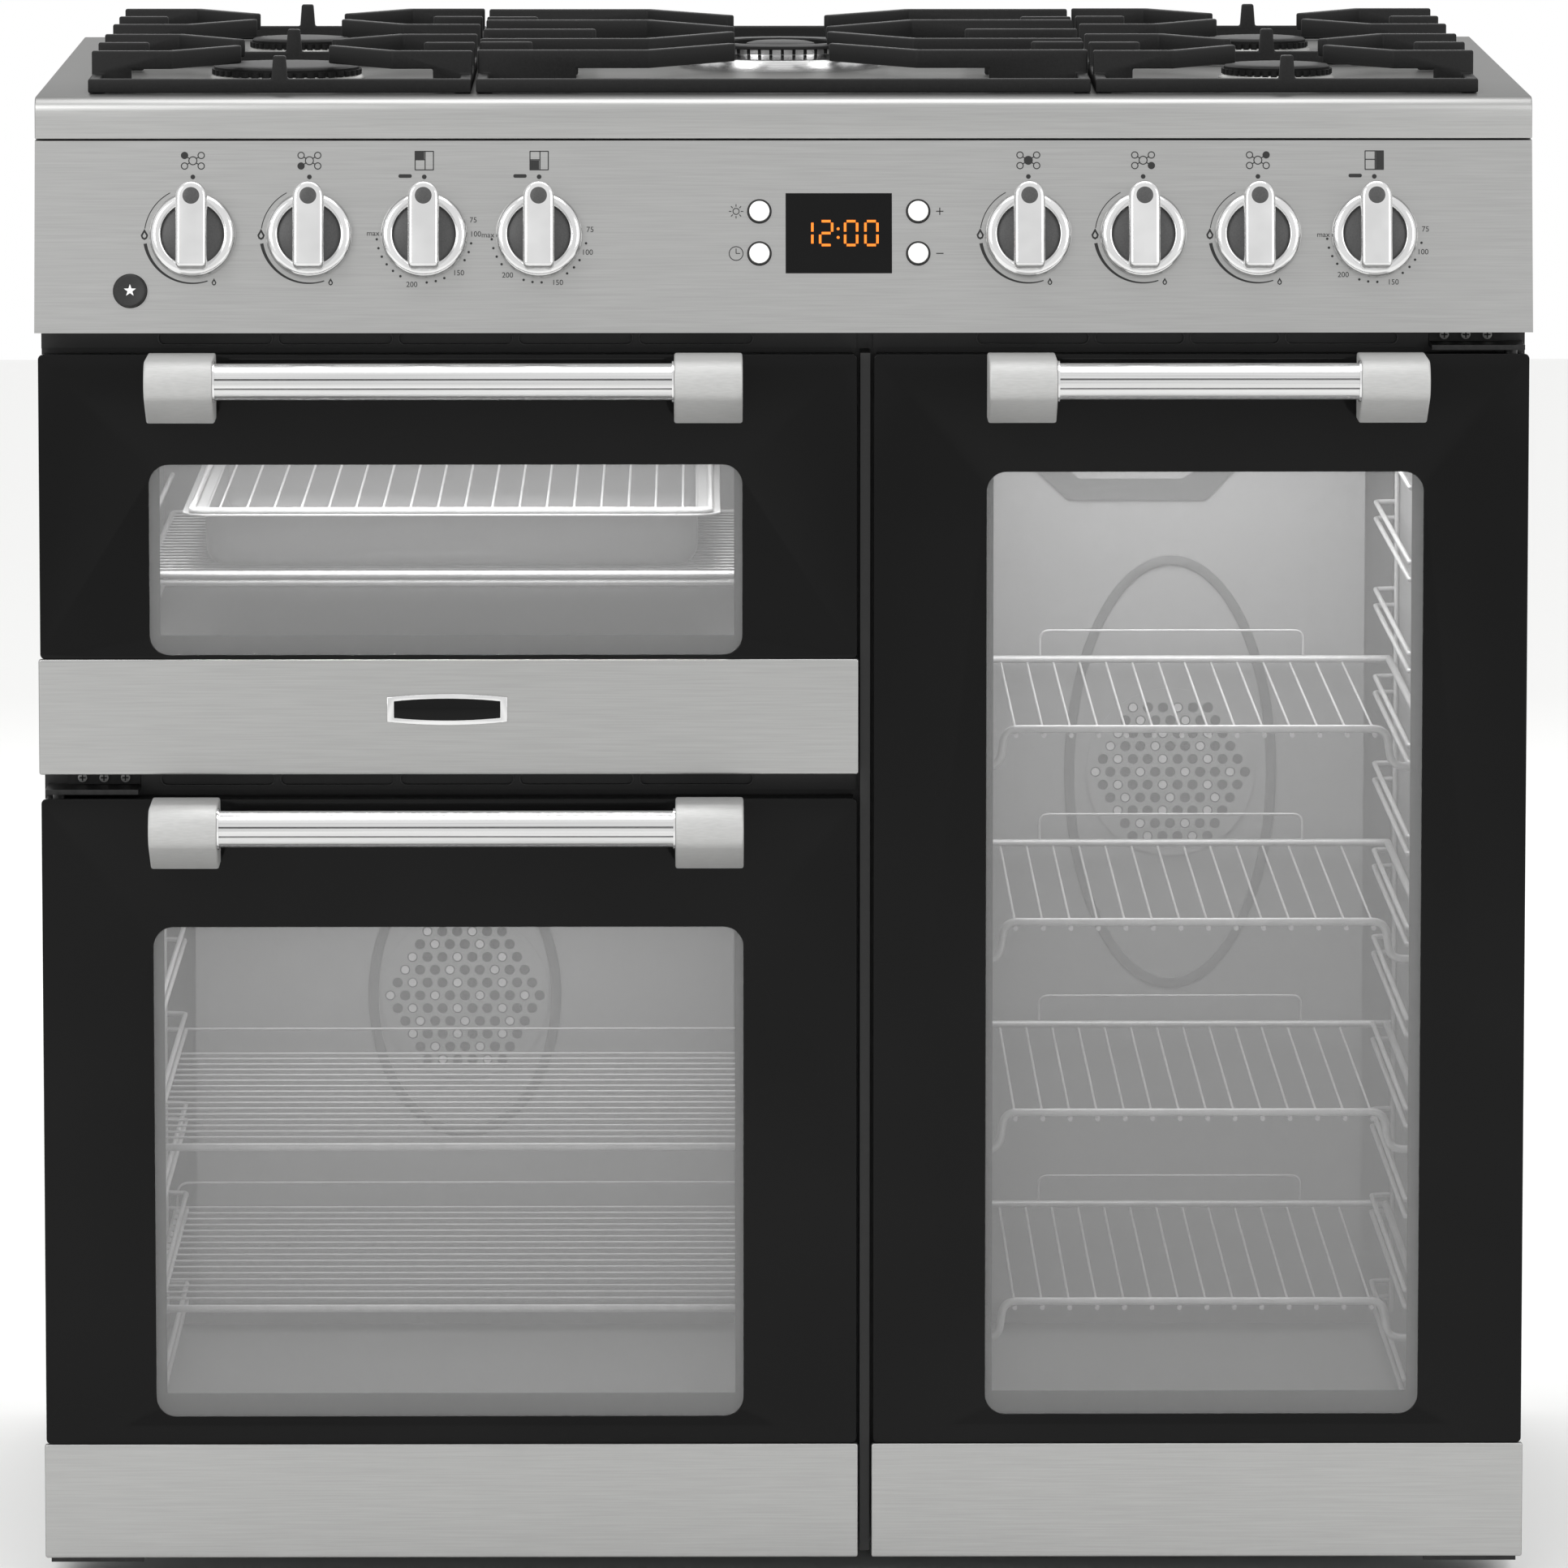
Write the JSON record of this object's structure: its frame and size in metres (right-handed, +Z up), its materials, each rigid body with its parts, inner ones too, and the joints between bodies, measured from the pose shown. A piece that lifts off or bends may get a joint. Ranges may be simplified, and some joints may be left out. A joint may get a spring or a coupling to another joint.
{
  "type": "range cooker",
  "caption": "Free-standing range cooker with a gas hob, cast pan supports, a drop-down grill door, a side-hung main oven door, a tall side-hung oven door and turning knobs.",
  "frame": {"origin": "on the floor under the middle of the cooker's outer box, handles counted", "axes": "+X to the right seen from the front, +Y to the rear, +Z up; the doors face -Y"},
  "size_m": [0.9, 0.661, 0.928],
  "materials": {
    "door_glass": "gloss",
    "inner_glass": "gloss",
    "brushed_steel": "brushed",
    "satin_steel": "satin",
    "black_enamel": "satin",
    "grey_enamel": "semi-gloss",
    "galvanised": "matt",
    "chrome_wire": "bright",
    "cast_iron": "matt",
    "aluminium": "cast",
    "brass": "drawn",
    "black_plastic": "matt",
    "gloss_black": "gloss",
    "knob_metal": "polished",
    "rubber": "matt",
    "glass_wool": "fibrous",
    "element_sheath": "oxidised"
  },
  "bodies": {
    "chassis": {"base_tray": "galvanised", "burner_bases": "aluminium", "burner_caps": "black_enamel", "clock_module": "gloss_black", "control_panel": "brushed_steel", "fan_covers": "grey_enamel", "fan_motors": "galvanised", "front_frame": "black_enamel", "gas_rail": "brass", "grill_cavity": "grey_enamel", "grill_pan": "grey_enamel", "grill_rack": "chrome_wire", "heating_elements": "element_sheath", "hinge_brackets": "satin_steel", "hob_top": "brushed_steel", "insulation": "glass_wool", "levelling_feet": "black_plastic", "main_oven_cavity": "grey_enamel", "oven_controls": "black_plastic", "oven_seals": "rubber", "oven_shelves": "chrome_wire", "rear_panel": "galvanised", "shelf_runners": "chrome_wire", "side_panels": "black_enamel", "tall_oven_cavity": "grey_enamel", "terminal_box": "black_plastic", "vent_strips": "black_enamel"},
    "grill_door": {"grill_door_glass": "door_glass", "grill_door_inner_glass": "inner_glass", "grill_door_trim": "brushed_steel", "grill_door_frame": "black_enamel", "grill_door_handle": "satin_steel"},
    "main_door": {"main_door_glass": "door_glass", "main_door_inner_glass": "inner_glass", "main_door_trim": "brushed_steel", "main_door_frame": "black_enamel", "main_door_handle": "satin_steel"},
    "tall_door": {"tall_door_glass": "door_glass", "tall_door_inner_glass": "inner_glass", "tall_door_trim": "brushed_steel", "tall_door_frame": "black_enamel", "tall_door_handle": "satin_steel"},
    "knob_rear_left": {"knob_rear_left": "knob_metal"},
    "knob_front_left": {"knob_front_left": "knob_metal"},
    "knob_grill": {"knob_grill": "knob_metal"},
    "knob_main_oven": {"knob_main_oven": "knob_metal"},
    "knob_wok": {"knob_wok": "knob_metal"},
    "knob_front_right": {"knob_front_right": "knob_metal"},
    "knob_rear_right": {"knob_rear_right": "knob_metal"},
    "knob_tall_oven": {"knob_tall_oven": "knob_metal"},
    "button_light": {"button_light": "black_plastic"},
    "button_clock": {"button_clock": "black_plastic"},
    "button_plus": {"button_plus": "black_plastic"},
    "button_minus": {"button_minus": "black_plastic"},
    "button_ignition": {"button_ignition": "black_plastic"},
    "pan_support_left": {"pan_support_left": "cast_iron"},
    "pan_support_middle": {"pan_support_middle": "cast_iron"},
    "pan_support_right": {"pan_support_right": "cast_iron"},
    "main_oven_fan": {"main_oven_fan": "aluminium"},
    "tall_oven_fan": {"tall_oven_fan": "aluminium"}
  },
  "joints": [
    {"name": "grill_door_hinge", "type": "hinge", "parent": "chassis", "child": "grill_door", "pos_m": [0, -0.2575, 0.508], "axis": [1, 0, 0], "range_deg": [0, 90]},
    {"name": "main_door_hinge", "type": "hinge", "parent": "chassis", "child": "main_door", "pos_m": [-0.438, -0.2495, 0.25], "axis": [0, 0, -1], "range_deg": [0, 100]},
    {"name": "tall_door_hinge", "type": "hinge", "parent": "chassis", "child": "tall_door", "pos_m": [0.438, -0.2495, 0.385], "axis": [0, 0, 1], "range_deg": [0, 100]},
    {"name": "knob_rear_left_turn", "type": "hinge", "parent": "chassis", "child": "knob_rear_left", "pos_m": [-0.355, -0.25831, 0.823], "axis": [0, -0.9819, 0.1895], "range_deg": [0, 200]},
    {"name": "knob_front_left_turn", "type": "hinge", "parent": "chassis", "child": "knob_front_left", "pos_m": [-0.285, -0.25831, 0.823], "axis": [0, -0.9819, 0.1895], "range_deg": [0, 200]},
    {"name": "knob_grill_turn", "type": "hinge", "parent": "chassis", "child": "knob_grill", "pos_m": [-0.216, -0.25831, 0.823], "axis": [0, 0.9819, -0.1895], "range_deg": [0, 275]},
    {"name": "knob_main_oven_turn", "type": "hinge", "parent": "chassis", "child": "knob_main_oven", "pos_m": [-0.147, -0.25831, 0.823], "axis": [0, 0.9819, -0.1895], "range_deg": [0, 275]},
    {"name": "knob_wok_turn", "type": "hinge", "parent": "chassis", "child": "knob_wok", "pos_m": [0.147, -0.25831, 0.823], "axis": [0, -0.9819, 0.1895], "range_deg": [0, 200]},
    {"name": "knob_front_right_turn", "type": "hinge", "parent": "chassis", "child": "knob_front_right", "pos_m": [0.216, -0.25831, 0.823], "axis": [0, -0.9819, 0.1895], "range_deg": [0, 200]},
    {"name": "knob_rear_right_turn", "type": "hinge", "parent": "chassis", "child": "knob_rear_right", "pos_m": [0.285, -0.25831, 0.823], "axis": [0, -0.9819, 0.1895], "range_deg": [0, 200]},
    {"name": "knob_tall_oven_turn", "type": "hinge", "parent": "chassis", "child": "knob_tall_oven", "pos_m": [0.355, -0.25831, 0.823], "axis": [0, 0.9819, -0.1895], "range_deg": [0, 275]},
    {"name": "button_light_push", "type": "slide", "parent": "chassis", "child": "button_light", "axis": [0, 0.9819, -0.1895], "range_m": [0, 0.0025], "stiffness_N_per_m": 300},
    {"name": "button_clock_push", "type": "slide", "parent": "chassis", "child": "button_clock", "axis": [0, 0.9819, -0.1895], "range_m": [0, 0.0025], "stiffness_N_per_m": 300},
    {"name": "button_plus_push", "type": "slide", "parent": "chassis", "child": "button_plus", "axis": [0, 0.9819, -0.1895], "range_m": [0, 0.0025], "stiffness_N_per_m": 300},
    {"name": "button_minus_push", "type": "slide", "parent": "chassis", "child": "button_minus", "axis": [0, 0.9819, -0.1895], "range_m": [0, 0.0025], "stiffness_N_per_m": 300},
    {"name": "button_ignition_push", "type": "slide", "parent": "chassis", "child": "button_ignition", "axis": [0, 0.9819, -0.1895], "range_m": [0, 0.0025], "stiffness_N_per_m": 300},
    {"name": "main_oven_fan_spin", "type": "hinge", "parent": "chassis", "child": "main_oven_fan", "pos_m": [-0.202, 0.2105, 0.2985], "axis": [0, 1, 0], "continuous": true},
    {"name": "tall_oven_fan_spin", "type": "hinge", "parent": "chassis", "child": "tall_oven_fan", "pos_m": [0.251, 0.2105, 0.443], "axis": [0, 1, 0], "continuous": true},
    {"name": "pan_support_left_lift", "type": "slide", "parent": "chassis", "child": "pan_support_left", "axis": [0, 0, 1], "range_m": [0, 0.06]},
    {"name": "pan_support_middle_lift", "type": "slide", "parent": "chassis", "child": "pan_support_middle", "axis": [0, 0, 1], "range_m": [0, 0.06]},
    {"name": "pan_support_right_lift", "type": "slide", "parent": "chassis", "child": "pan_support_right", "axis": [0, 0, 1], "range_m": [0, 0.06]}
  ]
}
